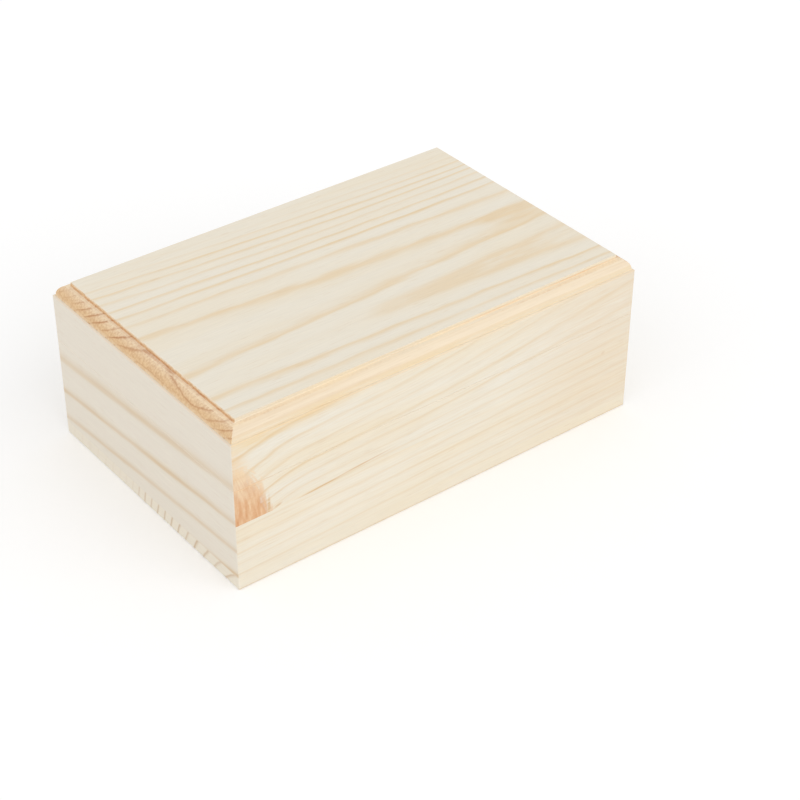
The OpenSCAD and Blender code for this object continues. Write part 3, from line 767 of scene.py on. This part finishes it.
# What the cutter and the sanding left on the edges, and painted light in the creases, by height. The ends
# are painted pale at the foot, as painted light that lifts the shade in the crease there, are darker brown
# in the corner of the step, and are sanded pale at its arris. The long sides are painted pale along the
# joint and in the corner of the step, as painted light that lifts the shade in these creases, and are straw
# between them and on the step.
# Height in millimetres, tone and share.
END_MARKS_AND_LIGHT = ((58.0, "#ecd3b0", 0.85), (58.5, "#ecd3b0", 0.7), (59.2, "#ecd3b0", 0.0),
             (61.9, "#c67e43", 0.0), (62.1, "#c67e43", 0.4), (62.6, "#c67e43", 0.45),
             (63.0, "#efdabc", 0.5), (63.5, "#f2e2ca", 0.9))
SIDE_MARKS_AND_LIGHT = ((58.0, "#f6e6c8", 0.8), (58.3, "#ead2a8", 0.8), (59.3, "#ead2a8", 0.6),
              (60.2, "#ead2a8", 0.0), (61.6, "#f5e2c2", 0.0), (62.05, "#f5e2c2", 0.8),
              (62.35, "#f5e2c2", 0.7), (62.7, "#eedab6", 0.45), (63.5, "#eedab6", 0.45))
MARKS_LOW, MARKS_HIGH = 57.6, 63.6
# The marks' ragged borders, with their swing up and down, and the patches in which the marks come and go,
# each with its length along X and width along Y, in millimetres
RAGGED_LENGTH, RAGGED_WIDTH, RAGGED_SWING = 9, 1.3, 0.18
PATCH_LENGTH, PATCH_WIDTH = 30, 2.2
tree = top_wood.node_tree
wood = tree.nodes["Principled BSDF"].inputs["Base Color"]
place = add(tree, "ShaderNodeTexCoord", {}).node.outputs
mm = add(tree, "ShaderNodeVectorMath", {0: place["Object"], "Scale": MM_PER_M}, operation="SCALE")
spot = add(tree, "ShaderNodeVectorMath", {0: mm, 1: (1 / RAGGED_LENGTH, 1 / RAGGED_WIDTH, 0)},
           operation="MULTIPLY")
ragged = add(tree, "ShaderNodeTexNoise", {"Vector": spot, "Scale": 1, "Detail": 2})
ragged = add(tree, "ShaderNodeMapRange",
             {"Value": ragged, "From Min": 0.25, "From Max": 0.75, "To Min": -RAGGED_SWING,
              "To Max": RAGGED_SWING})
height = add(tree, "ShaderNodeSeparateXYZ", {0: mm}, "Z")
height = add(tree, "ShaderNodeMath", {0: height, 1: ragged}, operation="ADD")
height = add(tree, "ShaderNodeMapRange", {"Value": height, "From Min": MARKS_LOW, "From Max": MARKS_HIGH})
facing = add(tree, "ShaderNodeVectorMath", {0: place["Normal"]}, operation="ABSOLUTE")
facing = add(tree, "ShaderNodeSeparateXYZ", {0: facing}).node.outputs
spot = add(tree, "ShaderNodeVectorMath", {0: mm, 1: (1 / PATCH_LENGTH, 1 / PATCH_WIDTH, 0)},
           operation="MULTIPLY")
patchy = add(tree, "ShaderNodeTexNoise", {"Vector": spot, "Scale": 1, "Detail": 2})
patchy = add(tree, "ShaderNodeMapRange",
             {"Value": patchy, "From Min": 0.33, "From Max": 0.6, "To Min": 0.2})
# Each pair of edges: the way it faces, and how far it has to face that way to take the marks and the painted
# light in full
for side, full, marks in (("X", 0.2, END_MARKS_AND_LIGHT), ("Y", 0.06, SIDE_MARKS_AND_LIGHT)):
    ramp = add(tree, "ShaderNodeValToRGB", {0: height}).node
    stops = ramp.color_ramp.elements
    while len(stops) < len(marks):
        stops.new(1.0)
    for stop, (z, code, share) in zip(stops, marks):
        stop.position = (z - MARKS_LOW) / (MARKS_HIGH - MARKS_LOW)
        stop.color = (*linear(code)[:3], share)
    share = add(tree, "ShaderNodeMapRange", {"Value": facing[side], "From Min": 0.01, "From Max": full})
    share = add(tree, "ShaderNodeMath", {0: share, 1: ramp.outputs["Alpha"]}, operation="MULTIPLY")
    share = add(tree, "ShaderNodeMath", {0: share, 1: patchy}, operation="MULTIPLY")
    mixed = add(tree, "ShaderNodeMix", {0: share, 6: wood.links[0].from_socket, 7: ramp.outputs["Color"]}, 2,
                data_type="RGBA")
    tree.links.new(mixed, wood)
# The corner of the step is orange towards the right
stain(top_wood, linear("#e3a766"), 0.45, (60, 62.55, 75, 0.3, 0.0))
mesh.materials.append(top_wood)
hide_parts("lid_top_panel")
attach(top_panel, "lid")

# Lid leaves and screws of the hinges
# The other half of each hinge, let into the rim of the lid's back rail and screwed up into it.
for side in ("left", "right"):
    leaf(side, "lid")
screw_set("lid", math.pi)

# Floor, light and camera
# White paper under the box, an even white studio and two large soft lights, low in front and at the left.
# The paper and the studio look white to the camera and in reflections, and the paper keeps the shadow.
HALF_FLOOR = 3.0
floor_mesh = bpy.data.meshes.new("floor")
floor_mesh.from_pydata([(-HALF_FLOOR, -HALF_FLOOR, 0), (HALF_FLOOR, -HALF_FLOOR, 0),
                        (HALF_FLOOR, HALF_FLOOR, 0), (-HALF_FLOOR, HALF_FLOOR, 0)], [], [(0, 1, 2, 3)])
floor = bpy.data.objects.new("floor", floor_mesh)
bpy.context.scene.collection.objects.link(floor)
paper = bpy.data.materials.new("white_paper")
paper.use_nodes = True
world = bpy.data.worlds.new("studio")
world.use_nodes = True
bpy.context.scene.world = world
# Light of the studio, white of the paper to other light, and the glow that makes the seen paper fully white
STUDIO_LEVEL, PAPER_LEVEL, PAPER_GLOW = 0.83, 0.85, 0.04
for tree, level in ((paper.node_tree, PAPER_LEVEL), (world.node_tree, STUDIO_LEVEL)):
    ray = add(tree, "ShaderNodeLightPath", {}).node.outputs
    seen = add(tree, "ShaderNodeMath", {0: ray["Is Camera Ray"], 1: ray["Is Glossy Ray"]},
               operation="MAXIMUM")
    seen = add(tree, "ShaderNodeMath", {0: seen, 1: ray["Is Transmission Ray"]}, operation="MAXIMUM")
    white = add(tree, "ShaderNodeMix", {0: seen, 6: (level, level, level, 1), 7: (1, 1, 1, 1)}, 2,
                data_type="RGBA")
    surface = tree.nodes.get("Background") or tree.nodes["Principled BSDF"]
    tree.links.new(white, surface.inputs[0])
    if tree == paper.node_tree:
        glow = add(tree, "ShaderNodeMath", {0: seen, 1: PAPER_GLOW}, operation="MULTIPLY")
        tree.links.new(glow, surface.inputs["Emission Strength"])
surface = paper.node_tree.nodes["Principled BSDF"]
surface.inputs["Roughness"].default_value = 1.0
surface.inputs["Emission Color"].default_value = (1, 1, 1, 1)
surface.inputs["Specular IOR Level"].default_value = 0.0
floor_mesh.materials.append(paper)

# Each light: where it comes from and its share of full light on a surface that faces it. The spread is how
# wide each of them looks from the box.
LIGHTS = {"front_light": ((0.25, -0.9, 0.42), 0.25), "left_light": ((-0.92, -0.15, 0.36), 0.13)}
LIGHT_SPREAD = math.radians(70)
for name, (direction, share) in LIGHTS.items():
    lamp = bpy.data.lights.new(name, "SUN")
    lamp.energy = share * math.pi
    lamp.angle = LIGHT_SPREAD
    light = bpy.data.objects.new(name, lamp)
    light.rotation_euler = Vector(direction).to_track_quat("Z", "Y").to_euler()
    bpy.context.scene.collection.objects.link(light)

# The photograph's view: azimuth, elevation and roll in degrees, the camera's place in metres, and its focal
# length and frame in millimetres
VIEW_ANGLES = (-37.96, 35.39, 0.23)
CAMERA_PLACE = (-0.3346, -0.4591, 0.4113)
FOCAL_LENGTH, FRAME_WIDTH = 86.65, 36
azimuth, elevation, roll = (math.radians(angle) for angle in VIEW_ANGLES)
back = Vector((math.sin(azimuth) * math.cos(elevation), -math.cos(azimuth) * math.cos(elevation),
               math.sin(elevation)))
level_x = Vector((0, 0, 1)).cross(back).normalized()
level_y = back.cross(level_x)
frame_x = math.cos(roll) * level_x + math.sin(roll) * level_y
frame_y = math.cos(roll) * level_y - math.sin(roll) * level_x
camera = bpy.data.objects.new("camera", bpy.data.cameras.new("camera"))
camera.data.sensor_width = FRAME_WIDTH
camera.data.lens = FOCAL_LENGTH
stand = Matrix((frame_x, frame_y, back)).transposed().to_4x4()
stand.translation = CAMERA_PLACE
camera.matrix_world = stand
bpy.context.scene.collection.objects.link(camera)
bpy.context.scene.camera = camera
bpy.context.scene.view_settings.view_transform = "Standard"
